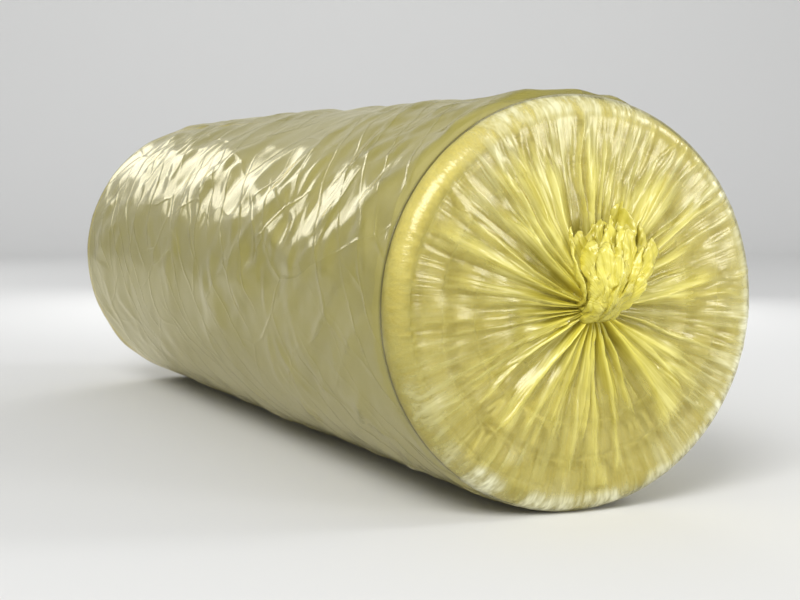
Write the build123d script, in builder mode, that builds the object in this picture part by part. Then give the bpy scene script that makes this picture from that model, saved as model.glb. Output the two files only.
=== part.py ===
from build123d import *
from math import ceil, cos, pi, radians, sin
import os

os.makedirs("parts", exist_ok=True)

# A roll of faced glass wool blanket in its film bag, lying on its side. Millimetres, +Z up.
# The roll's axis runs along Y. The gathered mouth of the bag faces -Y, its closed bottom +Y.
# The origin is on the floor, under the middle of the whole length.

# Driving dimensions
blanket_width = 1200.0  # the width of the blanket, which is the length of the roll
blanket_diameter = 396.0  # outside of the wound wool
bore_diameter = 36.0  # the open eye that the winding leaves in the middle
turn_pitch = 35.0  # thickness of one turn as it lies in the roll
turn_groove_depth = 8.0  # the cut edges of neighbouring turns fall away into a groove this deep
turn_groove_width = 12.0
shoulder_radius = 22.0  # rounding of the outermost turn's edge under the tight film
shoulder_steps = 4  # straight bevels that make up each rounded shoulder
facing_thickness = 0.5
film_thickness = 1.0
skin_gap = 0.3  # clearance between wool, facing and film
gather_rise = 16.0  # how far the bunched film climbs from the end of the roll to the neck
gather_margin = 5.0  # from the rounded shoulder to where the pleats fade out
neck_diameter = 30.0
pleat_count = 30
pleat_height = 7.0  # at its highest, near the neck
pleat_steps = 3  # straight stretches along one pleat
pleat_fill = 0.9  # how much of its share of the circle each pleat takes up
pleat_neck_gap = 3.0  # the pleats stop this far outside the neck
film_root = 0.8  # how far pleats and tail are sunk into the bunched film, to be one solid with it
tail_bend_radius = 24.0  # the tail leaves the neck along the axis and folds up round this bend
tail_height = 92.0  # from the roll's axis to the top of the folded tail
tail_width = 76.0  # across the opened top
tail_thickness = 24.0  # where the tail stands upright
tail_edge_thickness = 10.0  # at the opened top
tail_side_shift = 14.0  # how far the top leans to +X
tail_back_lean = 14.0  # how far the top leans back towards the roll
tail_flutes = 8
tail_flute_depth = 0.22  # share of the local size that the folds cut in

# Sizes that follow from them
blanket_radius = blanket_diameter / 2
bore_radius = bore_diameter / 2
facing_radius = blanket_radius + skin_gap + facing_thickness
cavity_radius = facing_radius + skin_gap
bag_radius = cavity_radius + film_thickness
neck_radius = neck_diameter / 2
axis_height = bag_radius  # the bag lies on the floor

cavity_length = blanket_width + 2 * skin_gap
tail_reach = tail_bend_radius + tail_thickness / 2  # from the neck to the front of the tail
overall_length = cavity_length + 2 * film_thickness + gather_rise + tail_reach
closed_end_y = overall_length / 2
mouth_end_y = closed_end_y - cavity_length - 2 * film_thickness  # flat of the gathered end
neck_y = mouth_end_y - gather_rise
blanket_middle_y = closed_end_y - film_thickness - cavity_length / 2


turning_axis = Axis((0, 0, axis_height), (0, 1, 0))
# Half sections are drawn here: local x runs along the roll and local y outwards from its axis.
half_section = Plane((0, 0, axis_height), x_dir=(0, 1, 0), z_dir=(1, 0, 0))


def drum_outline(low, high, radius, shoulder):
    """Points of a drum's half outline, from one flat end over both rounded shoulders to the other."""
    flat = radius - shoulder
    quarter = [radians(90 * k / shoulder_steps) for k in range(shoulder_steps + 1)]
    rising = [(low + shoulder - shoulder * cos(t), flat + shoulder * sin(t)) for t in quarter]
    falling = [(high - shoulder + shoulder * sin(t), flat + shoulder * cos(t)) for t in quarter]
    return rising + falling


def drum_section(low, high, radius, shoulder):
    """Half section of a closed drum with rounded shoulders."""
    with BuildSketch(half_section) as section:
        with BuildLine():
            Polyline((low, 0), *drum_outline(low, high, radius, shoulder), (high, 0), close=True)
        make_face()
    return section.sketch


# The turns show on each end as a spiral groove. It winds about two centres, half a turn below the
# axis and half above, so that every half turn is a true arc and ends where the next one begins.
winding_step = turn_pitch / 2
groove_side = turn_groove_width / 2
half_turns = ceil((blanket_radius + groove_side - bore_radius) / winding_step) + 2
groove_lift = 4.0  # the cutting section stands this far out of the end


def winding_groove(end_y, inwards):
    """What is cut from one end: the groove between bevelled turn edges, swept along the spiral."""
    with BuildPart() as groove:
        with BuildLine(Plane((0, end_y, axis_height), x_dir=(1, 0, 0), z_dir=(0, -1, 0))):
            for k in range(half_turns):
                above = k % 2
                centre = (0.5 - above) * winding_step
                CenterArc((centre, 0), bore_radius + k * winding_step, 180 * (1 - above), 180)
        start = (winding_step / 2 - bore_radius, end_y, axis_height)
        with BuildSketch(Plane(start, x_dir=(1, 0, 0), z_dir=(0, 0, 1))):
            with BuildLine():
                rim = inwards * -groove_lift
                Polyline(
                    (0, inwards * turn_groove_depth),
                    (groove_side, 0),
                    (groove_side, rim),
                    (-groove_side, rim),
                    (-groove_side, 0),
                    close=True,
                )
            make_face()
        sweep()
    return groove.part


blanket_low_y = blanket_middle_y - blanket_width / 2
blanket_high_y = blanket_middle_y + blanket_width / 2
near_groove = winding_groove(blanket_low_y, 1)
far_groove = winding_groove(blanket_high_y, -1)

with BuildPart() as glass_wool_blanket:
    revolve(drum_section(blanket_low_y, blanket_high_y, blanket_radius, shoulder_radius), turning_axis)
    with BuildSketch(Plane.XZ.offset(-blanket_middle_y)):
        with Locations((0, axis_height)):
            Circle(bore_radius)
    extrude(amount=blanket_width, both=True, mode=Mode.SUBTRACT)
    add(near_groove, mode=Mode.SUBTRACT)
    add(far_groove, mode=Mode.SUBTRACT)
glass_wool_blanket.part.label = "glass_wool_blanket"

facing_length = blanket_width - 2 * shoulder_radius

with BuildPart() as foil_facing:
    with BuildSketch(Plane.XZ.offset(-blanket_middle_y)):
        with Locations((0, axis_height)):
            Circle(facing_radius)
            Circle(facing_radius - facing_thickness, mode=Mode.SUBTRACT)
    extrude(amount=facing_length / 2, both=True)
foil_facing.part.label = "foil_facing"


bag_shoulder = shoulder_radius + skin_gap + film_thickness
bag_flat_radius = bag_radius - bag_shoulder
gather_start_radius = bag_flat_radius - gather_margin


def gathered_y(radius):
    """Where the gathered end's base surface lies at a radius: it climbs towards the neck."""
    share = (gather_start_radius - radius) / (gather_start_radius - neck_radius)
    return mouth_end_y - gather_rise * share**2


def pleat_section(radius, height):
    """Ridge section of one pleat, square to the radius and standing out from the gathered end."""
    half_width = pleat_fill * radius * sin(pi / pleat_count)
    foot = Vector(0, gathered_y(radius), axis_height + radius)
    with BuildSketch(Plane(foot, x_dir=(-1, 0, 0), z_dir=(0, 0, 1))) as section:
        with BuildLine():
            Polyline((half_width, -film_root), (0, height), (-half_width, -film_root), close=True)
        make_face()
    return section.sketch


def tail_section(turn, across, reach, lift, width, thickness):
    """Fluted oval across the tail, square to its line, which has turned upwards by the angle."""
    tilt = radians(turn)
    middle = Vector(across, neck_y - reach, axis_height + lift)
    points = []
    for k in range(2 * tail_flutes):
        angle = pi * k / tail_flutes
        swell = 1 - tail_flute_depth * (k % 2)
        points.append((width / 2 * swell * cos(angle), thickness / 2 * swell * sin(angle)))
    with BuildSketch(Plane(middle, x_dir=(1, 0, 0), z_dir=(0, -cos(tilt), sin(tilt)))) as section:
        with BuildLine():
            Polyline(*points, close=True)
        make_face()
    return section.sketch


gather_radii = [
    gather_start_radius + (neck_radius - gather_start_radius) * k / pleat_steps
    for k in range(pleat_steps + 1)
]
pleat_radii = gather_radii[:-1] + [neck_radius + pleat_neck_gap]
tail_root_diameter = neck_diameter - 2 * film_root

with BuildPart() as film_bag:
    with BuildSketch(half_section):
        with BuildLine():
            Polyline(
                *drum_outline(mouth_end_y, closed_end_y, bag_radius, bag_shoulder),
                (closed_end_y, 0),
                (neck_y, 0),
                *[(gathered_y(radius), radius) for radius in reversed(gather_radii)],
                close=True,
            )
        make_face()
    revolve(axis=turning_axis)
    cavity = drum_section(
        mouth_end_y + film_thickness,
        closed_end_y - film_thickness,
        cavity_radius,
        shoulder_radius + skin_gap,
    )
    revolve(cavity, turning_axis, mode=Mode.SUBTRACT)
    pleat = loft(
        [
            pleat_section(radius, pleat_height * k / pleat_steps - film_root * (k == 0) / 2)
            for k, radius in enumerate(pleat_radii)
        ],
        ruled=True,
        mode=Mode.PRIVATE,
    )
    add([pleat.rotate(turning_axis, 360 * (n + 0.5) / pleat_count) for n in range(pleat_count)])
    bend = tail_bend_radius
    half_bend = bend * sin(radians(45))
    loft(
        [
            tail_section(0, 0, -film_root, 0, tail_root_diameter, tail_root_diameter),
            tail_section(45, 0, half_bend, bend - half_bend, neck_diameter, neck_diameter),
            tail_section(90, 0, bend, bend, (neck_diameter + tail_width) / 2, tail_thickness),
            tail_section(
                90, tail_side_shift, bend - tail_back_lean, tail_height, tail_width, tail_edge_thickness
            ),
        ],
        ruled=True,
    )
film_bag.part.label = "film_bag"

export_step(glass_wool_blanket.part, "parts/glass_wool_blanket.step")
export_step(foil_facing.part, "parts/foil_facing.step")
export_step(film_bag.part, "parts/film_bag.step")
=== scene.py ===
"""Looks of the insulation roll: soft wool ends, crinkled foil, and the film bag with its gathered mouth.

The bag, its tail and the wool are built as rings of points, which formulas and seeded noise move. The foil
keeps the mesh of its solid. Angles round the roll start at +X and turn up first. Everything is in metres.
"""

import math
from collections import namedtuple

import bpy
import numpy as np
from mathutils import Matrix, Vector, noise


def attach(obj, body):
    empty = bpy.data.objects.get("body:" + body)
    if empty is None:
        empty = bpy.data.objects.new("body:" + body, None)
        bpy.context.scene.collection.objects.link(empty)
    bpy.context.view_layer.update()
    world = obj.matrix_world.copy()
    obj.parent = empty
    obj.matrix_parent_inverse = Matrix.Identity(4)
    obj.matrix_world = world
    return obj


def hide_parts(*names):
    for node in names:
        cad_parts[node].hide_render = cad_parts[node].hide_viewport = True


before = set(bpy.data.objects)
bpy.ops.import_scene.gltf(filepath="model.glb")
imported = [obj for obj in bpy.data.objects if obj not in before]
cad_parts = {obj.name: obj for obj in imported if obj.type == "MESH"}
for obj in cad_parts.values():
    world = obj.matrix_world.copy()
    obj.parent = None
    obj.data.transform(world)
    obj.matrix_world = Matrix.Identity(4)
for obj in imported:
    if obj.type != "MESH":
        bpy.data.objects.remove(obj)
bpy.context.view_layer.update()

# Driving dimensions, the same as in the part's source
BLANKET_WIDTH = 1.200  # the length of the roll
WOOL_R = 0.198
BORE_R = 0.018
TURN_PITCH = 0.035  # thickness of one turn as it lies in the roll
WOOL_SHOULDER = 0.022  # rounding of the outermost turn's edge
FACING_THICKNESS = 0.0005
FILM_THICKNESS = 0.001
SKIN_GAP = 0.0003  # between wool, facing and film
GATHER_RISE = 0.016  # how far the bunched film climbs from the end of the roll to the neck
GATHER_MARGIN = 0.005
NECK_R = 0.015
TAIL_REACH = 0.036  # from the neck to the front of the tail

# Places that follow from them
BAG_R = WOOL_R + FACING_THICKNESS + FILM_THICKNESS + 2 * SKIN_GAP
AXIS_Z = BAG_R  # the roll lies on the floor
SHOULDER = WOOL_SHOULDER + SKIN_GAP + FILM_THICKNESS
FLAT_R = BAG_R - SHOULDER
GATHER_R = FLAT_R - GATHER_MARGIN
CLOSED_Y = (BLANKET_WIDTH + 2 * (SKIN_GAP + FILM_THICKNESS) + GATHER_RISE + TAIL_REACH) / 2
WOOL_HIGH_Y = CLOSED_Y - FILM_THICKNESS - SKIN_GAP
WOOL_LOW_Y = WOOL_HIGH_Y - BLANKET_WIDTH
FOIL_LOW_Y = WOOL_LOW_Y + WOOL_SHOULDER
MOUTH_Y = WOOL_LOW_Y - SKIN_GAP - FILM_THICKNESS
NECK_Y = MOUTH_Y - GATHER_RISE
FAR_SHOULDER_Y = CLOSED_Y - SHOULDER
NEAR_SHOULDER_Y = MOUTH_Y + SHOULDER

# How the film lies
MOST_LIFT = 0.0095  # how far it may stand off the solid bag
LEAST_Z = 0.0004  # of the film on the floor
NEAR_LENGTH = 0.33  # of the side, next to the mouth, where the film is pulled into slanting creases
GRID_SLANT = 0.72  # sideways run of those creases for each metre along the roll, on average

# Relief of the film
MAIN_PLEAT = 0.0046  # height of the gathered end's main pleats at the shoulder
PLEAT_GROWTH = 0.0040  # what they gain towards the neck
FINE_PLEAT = 0.0026
FACE_WAVES = 0.0022  # soft waves of the gathered face
RIM_PLEAT = 0.0018  # height of the closed end's short pleats
CLOSED_WAVES = 0.0016
CLOSED_FOLD = 0.004  # a fold of the closed end this high counts as a full ridge
SIDE_FOLD = 0.006  # and so does one of the side
SIDE_SLACK = 0.0008  # between the solid bag and the lowest film of the side
FOIL_EDGE_DIP = 0.0007  # where the film dips into the line at which the foil ends
CALM_AT = 3.30  # the gathered end has few pleats round this angle, on the side to -X
PIT_AT = 3.0  # deep hollow beside the neck: its angle and radius
PIT_R = 0.050

# Relief of the wool's ends
GROOVE_DEPTH = 0.0065  # of the sharp line between two turns
GROOVE_WIDTH = 0.0045
TURN_FALL = 0.0050  # how far a turn's rounded edge falls away beside it
WOOL_TUFTS = 0.0006  # on its shoulders
BORE_TUFTS = 0.0004

# Points of the meshes
RIM_COUNT = 576  # round the outer part of the gathered face
SIDE_COUNT = 288  # round the side, the wool and the inner part of the gathered face
SPLIT_R = 0.090  # radius at which the gathered face goes from one to the other

BAG_SEED = 20
FOLD_SEED = 8
CRUMPLE_SEED = 5
TAIL_SEED = 11


# Helpers for shapes
def smooth(x):
    """0 below 0, 1 above 1, and an S-shaped rise between them."""
    x = np.clip(x, 0.0, 1.0)
    return x * x * (3 - 2 * x)


def bump01(x):
    """1 at 0, falling smoothly to 0 at 1 and beyond."""
    return smooth(1 - np.abs(x))


def wrap(x, period=2 * math.pi):
    """The same place on a circle, between minus and plus half a turn."""
    return (x + period / 2) % period - period / 2


def tri(x):
    """Triangle wave of period 1 between -1 and 1, with sharp crests and valleys."""
    return 4 * np.abs((x % 1.0) - 0.5) - 1


def fractal(points, scale, octaves, seed):
    """Smooth noise at an array of points."""
    shift = Vector((seed * 7.3, seed * 3.1, -seed * 5.7))
    values = [noise.fractal(Vector(p) / scale + shift, 0.9, 2.0, octaves) for p in points.reshape(-1, 3)]
    return np.array(values).reshape(points.shape[:-1])


def quarter(steps):
    """Angles from 0 to 90 degrees, in radians."""
    return [math.radians(90 * k / steps) for k in range(steps + 1)]


def ring_angles(count):
    """Angles of the points of one ring."""
    return np.arange(count) * 2 * math.pi / count


def circle(radius, phi, y, axis_z=0.0):
    """Points round the roll's axis."""
    return np.stack([radius * np.cos(phi), np.broadcast_to(y, phi.shape), axis_z + radius * np.sin(phi)], -1)


def oval(middle, broad, thin, width, height, angle):
    """Points round an oval: its half width lies along broad and its half height along thin."""
    return middle + broad * (width * np.cos(angle))[:, None] + thin * (height * np.sin(angle))[:, None]


def ring_faces(counts, close_start=False):
    """Faces between neighbouring rings, whose counts are equal or differ by a factor of 2."""
    starts = np.concatenate([[0], np.cumsum(counts)])
    faces = []
    for j in range(len(counts) - 1):
        a, b, n, m = starts[j], starts[j + 1], counts[j], counts[j + 1]
        if n == m:
            for i in range(n):
                k = (i + 1) % n
                faces.append((a + i, a + k, b + k, b + i))
        elif m == 2 * n:
            for i in range(n):
                k = (i + 1) % n
                faces.append((a + i, b + 2 * i + 1, b + 2 * i))
                faces.append((a + i, a + k, b + 2 * i + 1))
                faces.append((a + k, b + (2 * i + 2) % m, b + 2 * i + 1))
        else:
            for i in range(m):
                k = (i + 1) % m
                faces.append((a + 2 * i, a + 2 * i + 1, b + i))
                faces.append((a + 2 * i + 1, b + k, b + i))
                faces.append((a + 2 * i + 1, a + (2 * i + 2) % n, b + k))
    if close_start:
        faces.append(tuple(range(counts[0] - 1, -1, -1)))
    return faces


def mesh_piece(name, points, faces, attributes=()):
    """A smooth mesh object, with named values at its points."""
    mesh = bpy.data.meshes.new(name)
    mesh.from_pydata([tuple(p) for p in points], [], faces)
    for label, values in attributes:
        layer = mesh.attributes.new(label, "FLOAT", "POINT")
        layer.data.foreach_set("value", np.asarray(values, dtype=np.float32))
    mesh.shade_smooth()
    mesh.update()
    piece = bpy.data.objects.new(name, mesh)
    bpy.context.collection.objects.link(piece)
    return piece


# Film bag
Ring = namedtuple("Ring", "y r out_y out_r count")  # place, outward direction and points round
# The ridge values say how high the film is folded; the end film's material paints shade where they are low.
Film = namedtuple("Film", "lift layers ridge frost")  # what one ring of film does, point by point
# The frost values are milky film and, near the gathered end's rim, a painted highlight.
FILM_LABELS = ("layers", "ridge", "frost")  # what the film's material reads
SIDE_FACING = 0.7  # a ring whose outward direction has more than this across the axis is on the side


def gathered_y(r):
    """Where the solid bag's gathered end lies at a radius: it climbs towards the neck."""
    share = max(0.0, (GATHER_R - r) / (GATHER_R - NECK_R))
    return MOUTH_Y - GATHER_RISE * share**2


def bag_profile():
    """Rings of the bag, from the middle of the closed end over the side to the neck."""
    rings = [Ring(CLOSED_Y, r, 1.0, 0.0, SIDE_COUNT // 4) for r in (0.004, 0.008, 0.013, 0.019, 0.026)]
    rings += [Ring(CLOSED_Y, r, 1.0, 0.0, SIDE_COUNT // 2) for r in np.arange(0.033, 0.090, 0.0068)]
    rings += [Ring(CLOSED_Y, r, 1.0, 0.0, SIDE_COUNT) for r in np.arange(0.095, FLAT_R - 0.001, 0.0055)]
    for t in quarter(8):
        y = FAR_SHOULDER_Y + SHOULDER * math.cos(t)
        rings.append(Ring(y, FLAT_R + SHOULDER * math.sin(t), math.cos(t), math.sin(t), SIDE_COUNT))
    near_start = NEAR_SHOULDER_Y + NEAR_LENGTH
    far_side = np.linspace(FAR_SHOULDER_Y, near_start, 116)[1:]
    near_side = np.linspace(near_start, NEAR_SHOULDER_Y, 82)[1:-1]
    rings += [Ring(y, BAG_R, 0.0, 1.0, SIDE_COUNT) for y in (*far_side, *near_side)]
    for t in quarter(10):
        y = NEAR_SHOULDER_Y - SHOULDER * math.sin(t)
        count = RIM_COUNT if t else SIDE_COUNT
        rings.append(Ring(y, FLAT_R + SHOULDER * math.cos(t), -math.sin(t), math.cos(t), count))
    for r in np.linspace(FLAT_R, SPLIT_R, 33)[1:]:
        rings.append(Ring(gathered_y(r), r, -1.0, 0.0, RIM_COUNT))
    for r in np.linspace(SPLIT_R, NECK_R - 0.004, 32)[1:]:
        rings.append(Ring(gathered_y(r), r, -1.0, 0.0, SIDE_COUNT))
    return rings


def grid_twist(y):
    """Turn of the mesh's rings, so that its lines run along the slanting creases near the mouth."""
    s = np.clip((NEAR_SHOULDER_Y + NEAR_LENGTH - y) / NEAR_LENGTH, 0.0, 1.0)
    return GRID_SLANT * NEAR_LENGTH / BAG_R * s * s * (1.5 - 0.5 * s)


# at: angle, start: radius where it begins, fade: length of its rise, width and skew: of its section,
# height: its share of the full height, swirl, wobble, wave and phase: how its line runs to the neck
Pleat = namedtuple("Pleat", "at start fade width skew height swirl wobble wave phase")


def make_pleats(rng, count, least, first, last):
    """Random pleats of the gathered mouth, unevenly spaced. They start at radii from first to last."""
    gaps = rng.uniform(least, 1.0, count) ** 1.5
    at = np.cumsum(gaps) / gaps.sum() * 2 * math.pi
    return [
        Pleat(
            at=at[k],
            start=rng.uniform(first, last),
            fade=rng.uniform(0.020, 0.060),
            width=gaps[k] / gaps.sum() * 2 * math.pi * rng.uniform(0.55, 0.95),
            skew=rng.uniform(0.22, 0.78),
            height=rng.uniform(0.45, 1.0),
            swirl=rng.normal(0.0, 0.10) + 0.05,
            wobble=rng.uniform(0.004, 0.022),
            wave=rng.uniform(35, 90),
            phase=rng.uniform(0, 6.28),
        )
        for k in range(count)
    ]


def pleat_relief(r, phi, pleats):
    """Height of the pleats at a radius and an array of angles, from 0 to 1."""
    most = np.zeros(phi.shape)
    for p in pleats:
        off = wrap(phi - (p.at + p.swirl * (1 - r / BAG_R) + p.wobble * np.sin(p.wave * r + p.phase)))
        width = p.width * np.where(off > 0, p.skew, 1 - p.skew) * 2
        crest = np.clip(1 - np.abs(off) / width, 0, 1) ** 1.15
        most = np.maximum(most, crest * smooth((p.start - r) / p.fade) * p.height)
    return most


# middle u, v, direction, half length, height, width on either side, and how much its line curves
Crease = namedtuple("Crease", "u v cos sin half_length height wide narrow bow")


def draw_crease(rng, u, v, angle, length, height, wide, narrow, bow=None):
    """A crease at u, v. The last four are ranges that its own sizes are drawn from."""
    sizes = [rng.uniform(*limits) for limits in (height, wide, narrow)]
    bend = rng.uniform(*bow) if bow else 0.0
    return Crease(u, v, math.cos(angle), math.sin(angle), length / 2, *sizes, bend)


def crease_field(u, v, creases, round_length):
    """Sharp tapered ridges on a surface unrolled to u, v, which closes up after round_length."""
    total = np.zeros_like(u)
    for c in creases:
        du = wrap(u - c.u, round_length)
        dv = v - c.v
        along = du * c.cos + dv * c.sin
        across = -du * c.sin + dv * c.cos + c.bow * along * along
        taper = smooth(1 - np.abs(along) / c.half_length) ** 0.8
        ridge = np.clip(1 - np.abs(across) / np.where(across > 0, c.wide, c.narrow), 0, 1) ** 1.5
        total = np.maximum(total, c.height * taper * ridge)
    return total


def side_creases(rng):
    """Creases of the slack film: slanting near the mouth, star shaped further on, and long straight ones."""
    found = []
    girth = 2 * math.pi * BAG_R
    slanting, stars, straight = 54, 46, 34
    for k in range(slanting):
        u = girth * (k + rng.uniform(-0.4, 0.4)) / slanting
        v = NEAR_SHOULDER_Y + rng.uniform(0.02, 0.19)
        angle = math.radians(rng.normal(54, 6))
        length = rng.uniform(0.09, 0.24)
        found.append(draw_crease(rng, u, v, angle, length, (0.0020, 0.0058), (0.012, 0.022),
                                 (0.004, 0.009), (-0.4, 0.4)))
    for _ in range(stars):
        u = rng.uniform(0, girth)
        v = rng.uniform(MOUTH_Y + 0.18, CLOSED_Y - 0.06)
        first = rng.uniform(0, math.pi)
        reach = rng.uniform(0.05, 0.14)
        for ray in range(rng.integers(3, 7)):
            angle = first + 2 * math.pi * ray / 5 + rng.uniform(-0.35, 0.35)
            length = reach * rng.uniform(0.7, 1.3)
            out = 0.42 * length  # from the star's middle to the ray's
            found.append(draw_crease(rng, u + out * math.cos(angle), v + out * math.sin(angle), angle, length,
                                     (0.0012, 0.0034), (0.010, 0.030), (0.003, 0.008), (-2, 2)))
    for _ in range(straight):
        u = rng.uniform(0, girth)
        v = rng.uniform(MOUTH_Y + 0.1, CLOSED_Y - 0.05)
        angle = math.radians(rng.normal(90, 7))
        length = rng.uniform(0.2, 0.5)
        found.append(draw_crease(rng, u, v, angle, length, (0.0006, 0.0016), (0.012, 0.03), (0.004, 0.010)))
    return found


def closed_end_folds():
    """Soft folds where the bag's bottom is drawn flat: a long group at one side, and a few others."""
    rng = np.random.default_rng(FOLD_SEED)
    found = []
    for k in range(5):
        u = -0.130 + 0.024 * k + rng.uniform(-0.004, 0.004)
        v = rng.uniform(-0.02, 0.03)
        angle = math.radians(96 + 2.5 * k + rng.normal(0, 1))
        length = rng.uniform(0.24, 0.34)
        found.append(draw_crease(rng, u, v, angle, length, (0.0022, 0.0040), (0.014, 0.022),
                                 (0.007, 0.011), (-0.4, 0.4)))
    middle_r = 0.13
    for k in range(5):
        turn = 1.26 * k + rng.uniform(-0.4, 0.4)
        angle = turn + rng.normal(0, 0.3)
        length = rng.uniform(0.10, 0.16)
        found.append(draw_crease(rng, middle_r * math.cos(turn), middle_r * math.sin(turn), angle, length,
                                 (0.0012, 0.0024), (0.016, 0.030), (0.008, 0.014), (-2, 2)))
    return found


CRUMPLE_BANDS = (  # length of a fold, height, number of crossing waves
    (0.210, 0.0062, 4),
    (0.105, 0.0050, 4),
    (0.050, 0.0018, 4),
)


def crumple(phi, y):
    """Crossing folds with straight sharp crests that close up round the roll."""
    rng = np.random.default_rng(CRUMPLE_SEED)
    total = np.zeros(phi.shape)
    for length, height, number in CRUMPLE_BANDS:
        waves = []
        for _ in range(number):
            angle = rng.uniform(0, math.pi)
            turns = round(2 * math.pi * BAG_R * math.cos(angle) / length)
            bend = 0.30 * np.sin(rng.integers(1, 5) * phi + rng.uniform(4, 14) * y + rng.uniform(0, 6.28))
            across = turns * phi / (2 * math.pi) + y * math.sin(angle) / length
            waves.append(tri(across + bend + rng.uniform()))
        total += height * (0.55 * np.max(waves, axis=0) + 0.45 * np.mean(waves, axis=0))
    return total


def side_lifts(rings, creases):
    """How far the film of the side stands off the solid bag, ring by ring."""
    y = np.array([ring.y for ring in rings])[:, None] * np.ones((1, SIDE_COUNT))
    phi = ring_angles(SIDE_COUNT)[None, :] + grid_twist(y)
    ends = smooth((y - NEAR_SHOULDER_Y + 0.004) / 0.02) * smooth((CLOSED_Y - 0.008 - y) / 0.03)
    big = crease_field(BAG_R * phi, y, creases, 2 * math.pi * BAG_R)
    # slack in patches, more of them on top, and crumpled everywhere on the side to +X
    slack = smooth((fractal(circle(BAG_R, phi, y), 0.22, 2, 15.0) + 0.35 * np.sin(phi) + 0.25) / 0.55)
    least = 0.25 + 0.40 * smooth((np.cos(phi) + 0.2) / 0.5)
    slack = least + (1 - least) * slack
    lift = SIDE_SLACK + ends * (big + crumple(phi, y) * slack)
    # neighbouring points are evened out, round the roll and along it
    lift = 0.25 * np.roll(lift, 1, axis=1) + 0.5 * lift + 0.25 * np.roll(lift, -1, axis=1)
    lift[1:-1] = 0.25 * lift[:-2] + 0.5 * lift[1:-1] + 0.25 * lift[2:]
    pinch = bump01((y - FOIL_LOW_Y - 0.002) / 0.006)
    lift = lift * (1 - pinch) - pinch * FOIL_EDGE_DIP
    return np.clip(lift, -0.0009, MOST_LIFT)


RIM_HIGHLIGHTS = (  # middle of a stretch of the rim with a painted highlight, cosine where it starts, fade, strength
    (-0.25, 0.25, 0.60, 1.0),
    (-1.75, 0.72, 0.20, 1.0),
    (1.65, 0.80, 0.15, 0.7),
)


def mouth_film(r, phi, flat, held, pleats, fine_pleats):
    """One ring of the gathered end, whose pleats run from the shoulder to the neck."""
    room = MOUTH_Y - gathered_y(r)  # between the film and the wool behind it
    on_face = smooth((BAG_R + 0.002 - r) / 0.034)
    over_rim = smooth((BAG_R + 0.0015 - r) / 0.018)
    calm = bump01(wrap(phi - CALM_AT) / 0.75) * smooth((r - 0.045) / 0.03)
    main = pleat_relief(r, phi, pleats) * (1 - 0.75 * calm)
    busy = 0.30 + 0.70 * smooth((fractal(flat, 0.12, 2, 18.0) + 0.30 * np.cos(phi + 0.2) + 0.10) / 0.4)
    fine = busy * pleat_relief(r, phi, fine_pleats)
    # the pit is sunk into the film, and its ridge is lowered so that shade is painted in it too
    pit = bump01(wrap(phi - PIT_AT) / 0.55) * bump01((r - PIT_R) / 0.034)

    rise = MAIN_PLEAT + PLEAT_GROWTH * smooth((0.185 - r) / 0.11)
    lift = on_face * rise * main + over_rim * FINE_PLEAT * fine
    lift = lift + on_face * FACE_WAVES * fractal(flat, 0.07, 3, 4.0)
    sunk = smooth((fractal(flat, 0.06, 2, 33.0) - 0.35 * np.cos(phi) + 0.05) / 0.5)
    lift = lift - room * (0.30 * pit + 0.35 + 0.45 * sunk) * (1 - np.clip(1.6 * main, 0, 1))
    lift = lift * smooth((r - NECK_R + 0.006) / 0.012)
    lift = np.clip(lift, -0.0003 - 0.85 * room, MOST_LIFT) * held

    # the girth of the roll is gathered into that of a smaller ring, up to 9 layers
    layers = np.clip(BAG_R / max(r, 0.02), 1, 9) * (0.70 + 0.7 * main + 0.25 * fine)
    # the ridge is low in the pit and between the pleats, where the film's material paints shade
    ridge = np.clip((main + 0.4 * fine) * (1 - 0.8 * pit), 0, 1)
    # the frost here is partly milky film and partly a painted highlight, more of it on the lit side and on
    # lit stretches of the rim
    cloud = fractal(flat, 0.055, 2, 21.0) + 0.25 * np.cos(phi - 0.25) + 0.1
    frost = 0.8 * smooth((r - 0.125) / 0.06) * smooth(cloud / 0.45) * (0.45 + 0.55 * fine)
    rim = sum(strength * smooth((np.cos(phi - middle) - start) / fade)
              for middle, start, fade, strength in RIM_HIGHLIGHTS)
    rim_highlight = smooth((r - 0.174) / 0.012) * np.clip(rim, 0, 1) * smooth((cloud + 0.45) / 0.5)
    return Film(lift, np.maximum(layers, 1.2), ridge, np.maximum(frost, 1.1 * rim_highlight))


def side_film(lift):
    """One ring of the single film round the side."""
    return Film(lift, np.ones(lift.shape), np.clip(lift / SIDE_FOLD, 0, 1), np.zeros(lift.shape))


def closed_film(r, phi, flat, held, pleats, folds):
    """One ring of the closed end, drawn flat over the turns, with short pleats near its rim."""
    near_rim = smooth((r - 0.12) / 0.07)
    main = near_rim * pleat_relief(0.28 - r, phi, pleats)
    straight = crease_field(flat[:, 0], flat[:, 2], folds, 2.0)
    lift = RIM_PLEAT * main + straight + CLOSED_WAVES * fractal(flat, 0.09, 2, 9.0)
    folded = straight / CLOSED_FOLD
    frost = 0.40 + 0.6 * near_rim * smooth(fractal(flat, 0.06, 2, 27.0) / 0.4)
    # the ridge is low between the pleats and folds, where the film's material paints shade
    return Film(np.clip(lift, -0.0003, 0.0060) * held, 1.2 + 0.5 * main + 0.45 * folded,
                np.clip(main + folded, 0, 1), frost)


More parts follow.
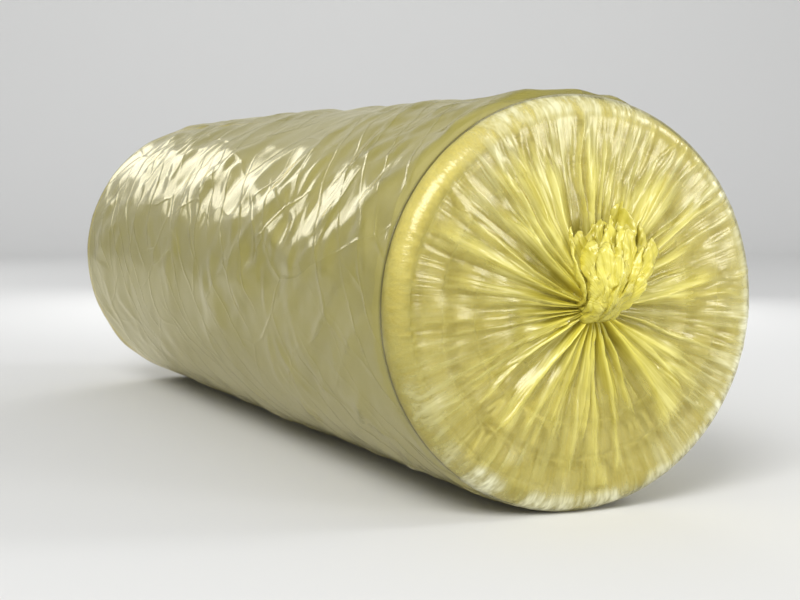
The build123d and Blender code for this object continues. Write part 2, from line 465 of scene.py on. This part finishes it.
def build_bag():
    """The bag without its tail, as one open sheet that ends inside the neck."""
    rng = np.random.default_rng(BAG_SEED)
    profile = bag_profile()
    pleats = make_pleats(rng, 50, 0.22, 0.120, 0.200)
    fine_pleats = make_pleats(rng, 124, 0.30, 0.150, 0.245)
    side_rings = [ring for ring in profile if ring.out_y >= 0 and ring.out_r > SIDE_FACING]
    lifts = iter(side_lifts(side_rings, side_creases(rng)))
    folds = closed_end_folds()
    points, films = [], []
    for ring in profile:
        phi = ring_angles(ring.count) + grid_twist(ring.y)
        flat = circle(ring.r, phi, ring.y)
        off_floor = smooth((np.sin(phi) + 1.015) / 0.22)  # 0 where the roll rests on the floor
        held = off_floor if ring.out_r > 0 else 1.0
        if ring.out_y < 0:
            film = mouth_film(ring.r, phi, flat, held, pleats, fine_pleats)
        elif ring.out_r > SIDE_FACING:
            film = side_film(next(lifts) * off_floor)
        else:
            film = closed_film(ring.r, phi, flat, held, pleats[::3], folds)
        moved = circle(ring.r + ring.out_r * film.lift, phi, ring.y + ring.out_y * film.lift, AXIS_Z)
        moved[:, 2] = np.maximum(moved[:, 2], LEAST_Z)
        points.append(moved)
        films.append(film)
    faces = ring_faces([ring.count for ring in profile], close_start=True)
    values = [(label, np.concatenate([getattr(film, label) for film in films])) for label in FILM_LABELS]
    return mesh_piece("film_bag_skin", np.concatenate(points), faces, values)


# The tail of the bag: the bunched film beyond the neck, folded up in front of the gathered end
TAIL_LINE = (  # height above the axis, distance in front of the neck, shift to +X, half width, half depth
    (0.000, -0.004, 0.000, 0.0155, 0.0155),
    (0.001, 0.006, 0.000, 0.0155, 0.0150),
    (0.008, 0.017, 0.002, 0.0180, 0.0150),
    (0.021, 0.024, 0.005, 0.0245, 0.0175),
    (0.040, 0.025, 0.009, 0.0320, 0.0205),
    (0.061, 0.022, 0.013, 0.0360, 0.0215),
    (0.081, 0.016, 0.017, 0.0335, 0.0185),
    (0.102, 0.010, 0.020, 0.0225, 0.0115),
)
TAIL_LAYERS = (  # number of folds, place from 0 at the back to 1 in front, shortest, longest
    (9, 0.08, 0.88, 1.00),
    (10, 0.42, 0.80, 0.97),
    (9, 0.74, 0.66, 0.88),
    (6, 0.98, 0.46, 0.72),
)
Fold = namedtuple("Fold", "side layer length")  # side from -1 to 1, and length as a share of the tail's
LONE_FOLD = Fold(-1.45, 0.35, 0.74)  # stands apart from the others


def spline(rows, t):
    """Catmull-Rom through rows, at t from 0 to 1."""
    rows = np.asarray(rows)
    x = min(max(t, 0.0), 0.99999) * (len(rows) - 1)
    k = int(x)
    f = x - k
    p = [rows[min(max(k + d, 0), len(rows) - 1)] for d in (-1, 0, 1, 2)]
    square = (2 * p[0] - 5 * p[1] + 4 * p[2] - p[3]) * f * f
    return 0.5 * (2 * p[1] + (p[2] - p[0]) * f + square + (3 * p[1] - p[0] - 3 * p[2] + p[3]) * f**3)


def tail_frame(share):
    """Point, direction, half width and half depth of the tail at a share of its length."""
    lift, reach, shift, half_width, half_depth = spline(TAIL_LINE, share)
    ahead = spline(TAIL_LINE, min(share + 0.02, 1.0))
    behind = spline(TAIL_LINE, max(share - 0.02, 0.0))
    point = np.array([shift, NECK_Y - reach, AXIS_Z + lift])
    run = np.array([ahead[2] - behind[2], behind[1] - ahead[1], ahead[0] - behind[0]])
    return point, run / np.linalg.norm(run), half_width, half_depth


def tail_stalk(rng):
    """Rings of the fluted stalk that fills the neck and ends among the folds, and its crests."""
    around, steps, lobes = 320, 44, 13
    phi = ring_angles(around)
    jitter = sum(rng.uniform(0.25, 0.6) / m * np.sin(m * phi + rng.uniform(0, 6.28)) for m in (1, 2, 3, 5))
    u = (phi * lobes / (2 * math.pi) + jitter) % lobes
    part = u - np.floor(u)
    crest = 0.65 * np.sqrt(np.clip(1 - (2 * part - 1) ** 2, 0, 1)) + 0.35 * (1 - np.abs(2 * part - 1))
    deep = rng.uniform(0.4, 1.0, lobes)[np.floor(u).astype(int) % lobes]
    out = 0.92 + 0.34 * deep * (crest - 0.75)
    across = np.array([1.0, 0.0, 0.0])
    rings = []
    for j in range(steps):
        t = j / (steps - 1)
        point, run, wide, thick = tail_frame(0.55 * t)
        close = 1 - 0.55 * smooth((t - 0.6) / 0.4)
        rings.append(oval(point, across, np.cross(run, across), wide * close * out, thick * close * out,
                          phi + 0.5 * t))
    return rings, np.tile(crest, steps)


def tail_fold(rng, fold, wide, thick):
    """One fold of the tuft: a flattened tube from inside the neck up to its blunt, crumpled tip."""
    around, steps = 28, 40
    angle = ring_angles(around)
    facing = 0.5 * fold.side + rng.normal(0.0, 0.45)
    twist = rng.normal(0.0, 0.6)
    sway = rng.uniform(-0.15, 0.15)
    slant = rng.uniform(-0.006, 0.006)
    seed = rng.uniform(0, 60)
    flat = np.abs(np.sin(angle))
    rings, layers, ridge_shade = [], [], []
    for j in range(steps):
        t = 0.02 + 0.98 * (1 - (1 - j / (steps - 1)) ** 1.4)  # rings lie closer near the tip
        point, run, half_width, half_depth = tail_frame(t * fold.length)
        across = np.array([1.0, 0.0, 0.0])
        across = across - run * (across @ run)
        across /= np.linalg.norm(across)
        depth = np.cross(run, across)
        aside = (fold.side + sway * math.sin(5 * t + seed)) * (half_width - 0.6 * wide)
        back = 2 * (fold.layer - 0.5) * (half_depth - 0.8 * thick)
        turn = facing + twist * t
        broad = across * math.cos(turn) + depth * math.sin(turn)
        tip = math.sqrt(max(1.003 - max((t - 0.86) / 0.14, 0.0) ** 2, 0.0))
        width = wide * (0.34 + 0.66 * smooth(t / 0.6)) * tip * (1 + 0.16 * math.sin(11 * t + seed))
        height = thick * (0.55 + 0.45 * smooth(t / 0.5)) * tip
        ring = oval(point + across * aside - depth * back, broad, np.cross(run, broad), width, height, angle)
        ring = ring + run * (slant * np.cos(angle) * smooth((t - 0.6) / 0.4))[:, None]
        push = 0.0030 * smooth((t - 0.06) / 0.35)
        for axis in range(3):
            ring[:, axis] += push * fractal(ring, 0.013, 3, seed + 3.0 * axis)
        rings.append(ring)
        layers.append((4.6 + 5.0 * flat) * (1 - 0.35 * smooth((t - 0.70) / 0.30)))
        # painted shade: the ridge value is lower near the neck and across the flat faces of each fold, so
        # these are darkened
        ridge_shade.append(np.full(around, 0.34 + 0.30 * smooth(t / 0.6)) - 0.16 * flat)
    return rings, np.concatenate(layers), np.concatenate(ridge_shade)


def build_tail():
    """The stalk and the folds of the tuft, as one mesh."""
    rng = np.random.default_rng(TAIL_SEED)
    rings, crest = tail_stalk(rng)
    points, faces = [np.concatenate(rings)], ring_faces([len(ring) for ring in rings])
    # painted shade: the stalk's ridge value is low in the grooves between its lobes
    layers, ridge_shade = [10.0 + 3.0 * crest], [0.10 + 0.5 * crest]
    base = len(points[0])
    folds = []
    for number, layer, shortest, longest in TAIL_LAYERS:
        for k in range(number):
            side = 2 * (k + 0.5) / number - 1 + rng.uniform(-0.10, 0.10)
            place = layer + rng.uniform(-0.12, 0.12)
            folds.append(Fold(side, place, rng.uniform(shortest, longest) - 0.14 * (side - 0.15) ** 2))
    for fold in (*folds, LONE_FOLD):
        wide = rng.uniform(0.0060, 0.0105)
        thick = rng.uniform(0.0024, 0.0044)
        rings, fold_layers, fold_ridge_shade = tail_fold(rng, fold, wide, thick)
        around, steps = len(rings[0]), len(rings)
        faces += [tuple(base + i for i in face) for face in ring_faces([around] * steps, close_start=True)]
        faces.append(tuple(base + around * (steps - 1) + i for i in range(around)))
        points.append(np.concatenate(rings))
        layers.append(fold_layers)
        ridge_shade.append(fold_ridge_shade)
        base += around * steps
    frost = np.zeros(base)
    values = zip(FILM_LABELS, (np.concatenate(layers), np.concatenate(ridge_shade), frost))
    return mesh_piece("film_bag_tail", np.concatenate(points), faces, values)


# Glass wool: the wound blanket, whose turns show as soft spiral rings on both ends
def wool_end(y_end, inwards, hand, seed):
    """Rings of one end, from the bore outwards. hand says which way its turns wind outwards."""
    phi = ring_angles(SIDE_COUNT)
    rings = []
    for r in np.linspace(BORE_R, WOOL_R - WOOL_SHOULDER, 84):
        flat = circle(r, phi, y_end)
        drift = 0.0035 * fractal(flat, 0.09, 2, seed) + 0.0015 * fractal(flat, 0.03, 2, seed + 3)
        turn = (r + drift - BORE_R) / TURN_PITCH - hand * phi / (2 * math.pi)
        off = np.abs(turn % 1.0 - 0.5)  # 0 in the middle of a turn, 0.5 between two
        gap = np.abs((turn + 0.5) % 1.0 - 0.5) * TURN_PITCH  # distance from the line between two turns
        groove = GROOVE_DEPTH * np.exp(-((gap / GROOVE_WIDTH) ** 2)) + TURN_FALL * (2 * off) ** 3
        fluff = 0.0012 * fractal(flat, 0.012, 3, seed + 6) + 0.0016 * fractal(flat, 0.035, 2, seed + 8)
        sink = np.maximum(groove - fluff, -0.0002)
        radius = r + 0.0008 * fractal(flat, 0.01, 2, seed + 9)
        rings.append(circle(radius, phi, y_end + inwards * sink, AXIS_Z))
    return rings


def wool_ring(y, r, rough):
    """A ring of the wool away from its ends, with tufts about as high as rough."""
    phi = ring_angles(SIDE_COUNT)
    radius = r + rough * (fractal(circle(r, phi, y), 0.02, 3, 70.0) - 0.3)
    return circle(radius, phi, y, AXIS_Z)


def wool_shoulder(y_end, inwards):
    """Rings of one rounded shoulder, from the end to the side."""
    rings = []
    for t in quarter(9)[1:]:
        y = y_end + inwards * WOOL_SHOULDER * (1 - math.cos(t))
        rings.append(wool_ring(y, WOOL_R - WOOL_SHOULDER + WOOL_SHOULDER * math.sin(t), WOOL_TUFTS))
    return rings


def build_wool():
    """The wound blanket as one closed mesh: closed end, side, mouth end and bore."""
    side_y = np.linspace(WOOL_HIGH_Y - WOOL_SHOULDER, WOOL_LOW_Y + WOOL_SHOULDER, 7)[1:-1]
    bore_y = np.linspace(WOOL_LOW_Y, WOOL_HIGH_Y, 9)[1:-1]
    rings = [
        *wool_end(WOOL_HIGH_Y, -1, -1, 30.0),
        *wool_shoulder(WOOL_HIGH_Y, -1),
        *[wool_ring(y, WOOL_R - 0.0012, 0.0) for y in side_y],
        *reversed(wool_shoulder(WOOL_LOW_Y, 1)),
        *reversed(wool_end(WOOL_LOW_Y, 1, 1, 50.0)),
        *[wool_ring(y, BORE_R, BORE_TUFTS) for y in bore_y],
    ]
    points = np.concatenate(rings)
    total = len(points)
    faces = ring_faces([SIDE_COUNT] * (len(rings) + 1))  # the last faces lead back to the first ring
    return mesh_piece("glass_wool_turns", points, [tuple(i % total for i in face) for face in faces])


# Materials
class Graph:
    """Node tree of a material or world. What goes into a socket is a number, a tuple or another socket."""

    def __init__(self, owner, output="ShaderNodeOutputMaterial"):
        owner.use_nodes = True
        self.owner = owner
        self.tree = owner.node_tree
        self.tree.nodes.clear()
        self.output = self.node(output)

    def plug(self, socket, value):
        if isinstance(value, bpy.types.NodeSocket):
            self.tree.links.new(value, socket)
        elif socket.type == "RGBA":
            socket.default_value = (*value, 1.0)
        else:
            socket.default_value = value

    def node(self, kind, **values):
        """A new node, with values for its inputs by name."""
        node = self.tree.nodes.new(kind)
        for name, value in values.items():
            self.plug(node.inputs[name.replace("_", " ")], value)
        return node

    def coords(self):
        return self.node("ShaderNodeTexCoord").outputs["Object"]

    def apart(self, vector):
        """The x, y and z of a vector."""
        return self.node("ShaderNodeSeparateXYZ", Vector=vector).outputs

    def attribute(self, name):
        node = self.node("ShaderNodeAttribute")
        node.attribute_name = name
        return node.outputs["Fac"]

    def math(self, operation, *values, clamp=False):
        node = self.node("ShaderNodeMath")
        node.operation = operation
        node.use_clamp = clamp
        for socket, value in zip(node.inputs, values):
            self.plug(socket, value)
        return node.outputs[0]

    def vector(self, operation, first, second=(0.0, 0.0, 0.0)):
        node = self.node("ShaderNodeVectorMath")
        node.operation = operation
        self.plug(node.inputs[0], first)
        self.plug(node.inputs["Scale"] if operation == "SCALE" else node.inputs[1], second)
        return node.outputs[0]

    def mix(self, factor, first, second, blend="MIX"):
        """A mix of two colours."""
        node = self.node("ShaderNodeMix")
        node.data_type = "RGBA"
        node.blend_type = blend
        for socket, value in zip([x for x in node.inputs if x.enabled], (factor, first, second)):
            self.plug(socket, value)
        return [x for x in node.outputs if x.enabled][0]

    def mix_shaders(self, factor, first, second):
        node = self.node("ShaderNodeMixShader")
        for socket, value in zip(node.inputs, (factor, first, second)):
            self.plug(socket, value)
        return node.outputs[0]

    def noise(self, vector, scale, detail=2.0, distortion=0.0, roughness=0.5):
        node = self.node("ShaderNodeTexNoise", Vector=vector, Scale=scale, Detail=detail,
                         Distortion=distortion, Roughness=roughness)
        return node.outputs[0]

    def ramp(self, value, low, high, at_low=0.0, at_high=1.0):
        """A value spread from low and high to at_low and at_high, and held there beyond them."""
        node = self.node("ShaderNodeMapRange", Value=value, From_Min=low, From_Max=high,
                         To_Min=at_low, To_Max=at_high)
        return node.outputs[0]

    def bump(self, height, strength, distance):
        return self.node("ShaderNodeBump", Height=height, Strength=strength, Distance=distance).outputs[0]

    def finish(self, shader):
        """Puts the shader on the output and returns the material or world."""
        self.plug(self.output.inputs["Surface"], shader)
        return self.owner


def new_material(name):
    return Graph(bpy.data.materials.new(name))


def wool_material():
    """Matt yellow fibres in clumps."""
    graph = new_material("glass_wool_yellow")
    coords = graph.coords()
    clumps = graph.noise(coords, 45.0, 3.0)
    patches = graph.noise(coords, 9.0)
    fibres = graph.noise(coords, 420.0, 3.0, roughness=0.7)
    tone = graph.mix(graph.ramp(clumps, 0.3, 0.7), (0.64, 0.56, 0.17), (0.82, 0.76, 0.33))
    tone = graph.mix(graph.ramp(patches, 0.35, 0.7, at_high=0.5), tone, (0.88, 0.83, 0.42))
    tone = graph.mix(graph.ramp(fibres, 0.45, 0.75, at_high=0.35), tone, (0.92, 0.90, 0.56))
    height = graph.math("MULTIPLY_ADD", fibres, 0.5, clumps)
    shader = graph.node("ShaderNodeBsdfPrincipled", Base_Color=tone, Roughness=0.95, Specular_IOR_Level=0.15,
                        Sheen_Weight=0.25, Normal=graph.bump(height, 0.6, 0.002))
    return graph.finish(shader.outputs[0])


def foil_material():
    """Satin foil facing, softly crinkled, with painted shade along its end at the mouth."""
    graph = new_material("foil_satin")
    coords = graph.coords()
    soft = graph.noise(coords, 5.0, 3.0, 0.6)
    fine = graph.noise(coords, 16.0, 3.0, 0.8)
    tone = graph.mix(graph.ramp(soft, 0.3, 0.7), (0.57, 0.545, 0.41), (0.69, 0.665, 0.52))
    # painted shade: a dark band where the foil ends at the mouth
    painted_edge_shade = graph.ramp(graph.apart(coords)[1], FOIL_LOW_Y + 0.007, FOIL_LOW_Y + 0.001)
    tone = graph.mix(painted_edge_shade, tone, (0.06, 0.05, 0.02))
    height = graph.math("MULTIPLY_ADD", fine, 0.45, soft)
    roughness = graph.ramp(fine, 0.0, 1.0, 0.44, 0.60)
    shader = graph.node("ShaderNodeBsdfPrincipled", Base_Color=tone, Metallic=0.6, Roughness=roughness,
                        Normal=graph.bump(height, 0.34, 0.006))
    return graph.finish(shader.outputs[0])


# degrees, stretch, cells per metre, line width, range of the patches that show it, strength, shift
CREASE_SETS = (
    (20.0, 2.2, 14.0, 0.060, (0.40, 0.56), 1.0, 0.0),
    (-50.0, 4.5, 24.0, 0.090, (0.60, 0.44), 0.9, 3.0),
)


def crease_lines(graph, coords):
    """Height of thin creases, drawn on the film of the side as if it were unrolled."""
    x, y, z = graph.apart(graph.vector("SUBTRACT", coords, (0.0, 0.0, AXIS_Z)))
    angle = graph.math("ARCTAN2", x, z)
    square = graph.math("MULTIPLY_ADD", x, x, graph.math("MULTIPLY", z, z))
    inset = graph.math("SUBTRACT", BAG_R, graph.math("SQRT", square))
    run = graph.math("MULTIPLY_ADD", inset, graph.math("SIGN", y), y)
    unrolled = graph.node("ShaderNodeCombineXYZ", X=graph.math("MULTIPLY", angle, BAG_R), Y=run)
    warp = graph.node("ShaderNodeTexNoise", Vector=coords, Scale=9.0, Detail=1.0)
    shift = graph.vector("MULTIPLY", warp.outputs["Color"], (0.04, 0.04, 0.0))
    shifted = graph.vector("ADD", unrolled.outputs[0], shift)
    patch = graph.noise(coords, 6.0, 1.0)
    total = 0.0
    for turn, stretch, scale, width, shown, strength, apart in CREASE_SETS:
        mapping = graph.node("ShaderNodeMapping", Vector=shifted, Location=(apart, apart, 0.0),
                             Rotation=(0.0, 0.0, math.radians(turn)), Scale=(1.0, stretch, 1.0))
        mapping.vector_type = "TEXTURE"
        cells = graph.node("ShaderNodeTexVoronoi", Vector=mapping.outputs[0], Scale=scale)
        cells.feature = "DISTANCE_TO_EDGE"
        cells.voronoi_dimensions = "2D"
        line = graph.ramp(cells.outputs["Distance"], width, 0.0)
        line = graph.math("MULTIPLY", line, line)
        line = graph.math("MULTIPLY", line, graph.ramp(patch, *shown))
        total = graph.math("MULTIPLY_ADD", line, strength, total)
    return total


def film_layers(graph, tone, cover, height, gloss_roughness, tint):
    """Film whose cover is the share of it that can't be seen through, under a thin gloss."""
    normal = graph.bump(height, 0.6, 0.0010)
    body = graph.node("ShaderNodeBsdfPrincipled", Base_Color=tone, Roughness=0.35, Specular_IOR_Level=0.4,
                      Normal=normal)
    clear = graph.node("ShaderNodeBsdfTransparent", Color=tint)
    gloss = graph.node("ShaderNodeBsdfGlossy", Color=(0.93, 0.89, 0.70), Roughness=gloss_roughness,
                       Normal=normal)
    fresnel = graph.node("ShaderNodeFresnel", IOR=1.5, Normal=normal)
    film = graph.mix_shaders(cover, clear.outputs[0], body.outputs[0])
    return graph.finish(graph.mix_shaders(fresnel.outputs[0], film, gloss.outputs[0]))


def side_film_material():
    """The single film round the side, clear and creased."""
    graph = new_material("film_clear_side")
    coords = graph.coords()
    crinkle = graph.noise(coords, 38.0, roughness=0.6)
    height = graph.math("MULTIPLY_ADD", crinkle, 0.35, crease_lines(graph, coords))
    return film_layers(graph, (0.80, 0.70, 0.10), 0.27, height, 0.14, (0.99, 0.975, 0.90))


def end_film_material():
    """The film over both ends and the tail: see-through where it is single, yellow where it is bunched."""
    graph = new_material("film_gathered_yellow")
    layers, ridge, frost = [graph.attribute(label) for label in FILM_LABELS]
    coords = graph.coords()
    at_mouth = graph.ramp(graph.apart(coords)[1], MOUTH_Y + 1.2 * SHOULDER, MOUTH_Y + 0.5 * SHOULDER)

    # streaks that run towards the middle of the end, whatever the distance from it
    flat = graph.vector("MULTIPLY", graph.vector("SUBTRACT", coords, (0.0, 0.0, AXIS_Z)), (1.0, 0.0, 1.0))
    along = graph.vector("MULTIPLY", coords, (0.0, 3.0, 0.0))
    run_in = graph.vector("ADD", graph.vector("NORMALIZE", flat), along)
    run_in = graph.vector("ADD", run_in, graph.vector("SCALE", flat, 0.45))
    broad = graph.noise(run_in, 23.0, roughness=0.6)
    hairs = graph.noise(run_in, 58.0, 1.0, roughness=0.6)
    both = graph.math("MULTIPLY_ADD", hairs, 0.28, broad)
    streaks = graph.math("MULTIPLY", graph.ramp(both, 0.46, 0.80), at_mouth)
    calm = graph.ramp(graph.noise(coords, 8.0, 1.0), 0.62, 0.36)
    streak = graph.math("MULTIPLY", streaks, graph.math("MULTIPLY_ADD", calm, 0.55, 0.45))

    # yellow, deeper where the film is bunched, with painted shade in the hollows between pleats, milky where
    # it is frosted and pale where a highlight is painted on it
    bunched = graph.ramp(layers, 1.0, 7.0)
    # the streaks are film of varying thickness and also painted light and shade along the pleats, paler on
    # the lit ones
    pale = graph.mix(streak, (0.77, 0.68, 0.10), (0.95, 0.90, 0.34))
    deep = graph.mix(streak, (0.74, 0.645, 0.06), (0.90, 0.83, 0.17))
    # painted shade: film with a low ridge is darkened, as if in the hollow of a fold
    hollow_shade = graph.mix(graph.ramp(ridge, 0.15, 0.85), (0.60, 0.58, 0.45), (1.0, 1.0, 1.0))
    tone = graph.mix(1.0, graph.mix(bunched, pale, deep), hollow_shade, "MULTIPLY")
    # frost makes the film milky, and near the gathered end's rim it is a painted highlight
    frost_sheen_mix = graph.math("MULTIPLY", frost, graph.math("MULTIPLY_ADD", streak, 0.55, 0.40))
    tone = graph.mix(frost_sheen_mix, tone, (0.94, 0.93, 0.66))

    crinkle = graph.math("MULTIPLY", graph.noise(coords, 38.0, roughness=0.6), 0.35)
    height = graph.math("MULTIPLY_ADD", streaks, 0.45, crinkle)

    # what gets through n layers is this share to the power n, and a thick bunch lets nothing through
    through_one = 0.78
    through = graph.math("POWER", through_one, layers)
    cover = graph.math("MULTIPLY_ADD", through, -1.2, 1.14)
    lively = graph.math("MULTIPLY_ADD", streak, 0.30, -0.05)
    cover = graph.math("MULTIPLY_ADD", lively, at_mouth, cover)
    cover = graph.math("MULTIPLY_ADD", frost_sheen_mix, 0.35, cover, clamp=True)
    roughness = graph.math("MULTIPLY_ADD", at_mouth, 0.09, 0.14)
    return film_layers(graph, tone, cover, height, roughness, (0.99, 0.967, 0.83))


def dress_film(bag, tail):
    """The clear film goes on the bag's side, the gathered film on its ends and the tail."""
    end_film = end_film_material()
    for material in (side_film_material(), end_film):
        bag.data.materials.append(material)
    tail.data.materials.append(end_film)
    middles = np.empty(3 * len(bag.data.polygons), dtype=np.float32)
    bag.data.polygons.foreach_get("center", middles)
    y = middles[1::3]
    at_end = (y < NEAR_SHOULDER_Y) | (y > FAR_SHOULDER_Y)
    bag.data.polygons.foreach_set("material_index", at_end.astype(np.int32))


bag = build_bag()
tail = build_tail()
wool = build_wool()
dress_film(bag, tail)
wool.data.materials.append(wool_material())
foil = foil_material()
for foil_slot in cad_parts["foil_facing"].material_slots:
    foil_slot.material = foil
for piece in (bag, tail, wool):
    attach(piece, "root")
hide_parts("film_bag")
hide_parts("glass_wool_blanket")


# Floor, light and camera
FLOOR_TONE = (0.70, 0.70, 0.69)
LAMPS = (  # name, place, what it points at, size, watts, whether its shine shows on the film
    ("key", (-3.2, -3.98, 3.88), (0.0, -0.3, 0.2), (2.7, 2.7), 302, True),
    ("fill", (2.72, -4.82, 1.0), (0.0, -0.5, 0.2), (1.6, 1.6), 97, True),
    ("rear", (1.05, 2.0, 0.80), (0.0, 0.63, 0.22), (0.9, 0.6), 15, False),
    ("right", (3.3, -1.5, 2.5), (0.0, 0.0, 0.2), (1.0, 1.0), 36, True),
    ("back", (-0.7, 3.9, 1.45), (0.0, 0.0, 0.3), (1.7, 0.7), 9, True),
    ("wall", (0.5, 2.8, 3.6), (0.8, 6.0, 0.6), (4.0, 1.0), 24, True),
)
CAMERA_TURN = math.radians(-30.5)  # from straight in front of the mouth
CAMERA_LIFT = math.radians(4.6)
CAMERA_DISTANCE = 1.52  # from the middle of the mouth
CAMERA_AIM = Vector((-0.05, -0.26, 0.185))


def stage_floor():
    """A pale floor that curves up into the wall behind the roll."""
    front, back, half_width, curve, top = -9.0, 4.5, 14.0, 1.6, 8.0
    line = [(front, 0.0), (back, 0.0)]
    line += [(back + curve * math.sin(t), curve * (1 - math.cos(t))) for t in quarter(16)[1:]]
    line.append((back + curve, top))
    points, faces = [], []
    for k, (y, z) in enumerate(line):
        points += [(-half_width, y, z), (half_width, y, z)]
        if k:
            faces.append((2 * k - 2, 2 * k - 1, 2 * k + 1, 2 * k))
    floor = mesh_piece("floor", points, faces)
    graph = new_material("floor_pale")
    shader = graph.node("ShaderNodeBsdfPrincipled", Base_Color=FLOOR_TONE, Roughness=0.85)
    floor.data.materials.append(graph.finish(shader.outputs[0]))
    floor.rotation_euler = (0, 0, math.radians(-24))  # its wall faces the camera


def area_lamp(name, place, target, size, power, glossy):
    """A rectangular lamp that points at its target and isn't seen itself."""
    data = bpy.data.lights.new(name, "AREA")
    data.shape = "RECTANGLE"
    data.size, data.size_y = size
    data.energy = power
    lamp = bpy.data.objects.new(name, data)
    lamp.location = place
    lamp.rotation_euler = (Vector(target) - Vector(place)).to_track_quat("-Z", "Y").to_euler()
    lamp.visible_camera = False
    lamp.visible_glossy = glossy
    bpy.context.collection.objects.link(lamp)


def make_world():
    """Soft light from all round, and the floor's tone where the camera sees past the wall."""
    graph = Graph(bpy.data.worlds.new("studio"), "ShaderNodeOutputWorld")
    light = graph.node("ShaderNodeBackground", Color=(0.97, 0.98, 1.0), Strength=0.46)
    seen = graph.node("ShaderNodeBackground", Color=FLOOR_TONE)
    from_camera = graph.node("ShaderNodeLightPath").outputs["Is Camera Ray"]
    mixed = graph.mix_shaders(from_camera, light.outputs[0], seen.outputs[0])
    bpy.context.scene.world = graph.finish(mixed)


def place_camera():
    """Low and to the left of the roll's axis, as in the photo."""
    data = bpy.data.cameras.new("camera")
    data.lens = 72
    data.sensor_width = 36
    camera = bpy.data.objects.new("camera", data)
    bpy.context.collection.objects.link(camera)
    level = math.cos(CAMERA_LIFT)
    away = Vector((math.sin(CAMERA_TURN) * level, -math.cos(CAMERA_TURN) * level, math.sin(CAMERA_LIFT)))
    camera.location = Vector((0.0, MOUTH_Y, AXIS_Z)) + away * CAMERA_DISTANCE
    camera.rotation_euler = (CAMERA_AIM - camera.location).to_track_quat("-Z", "Y").to_euler()
    bpy.context.scene.camera = camera


stage_floor()
make_world()
for lamp in LAMPS:
    area_lamp(*lamp)
place_camera()
bpy.context.scene.view_settings.view_transform = "Standard"
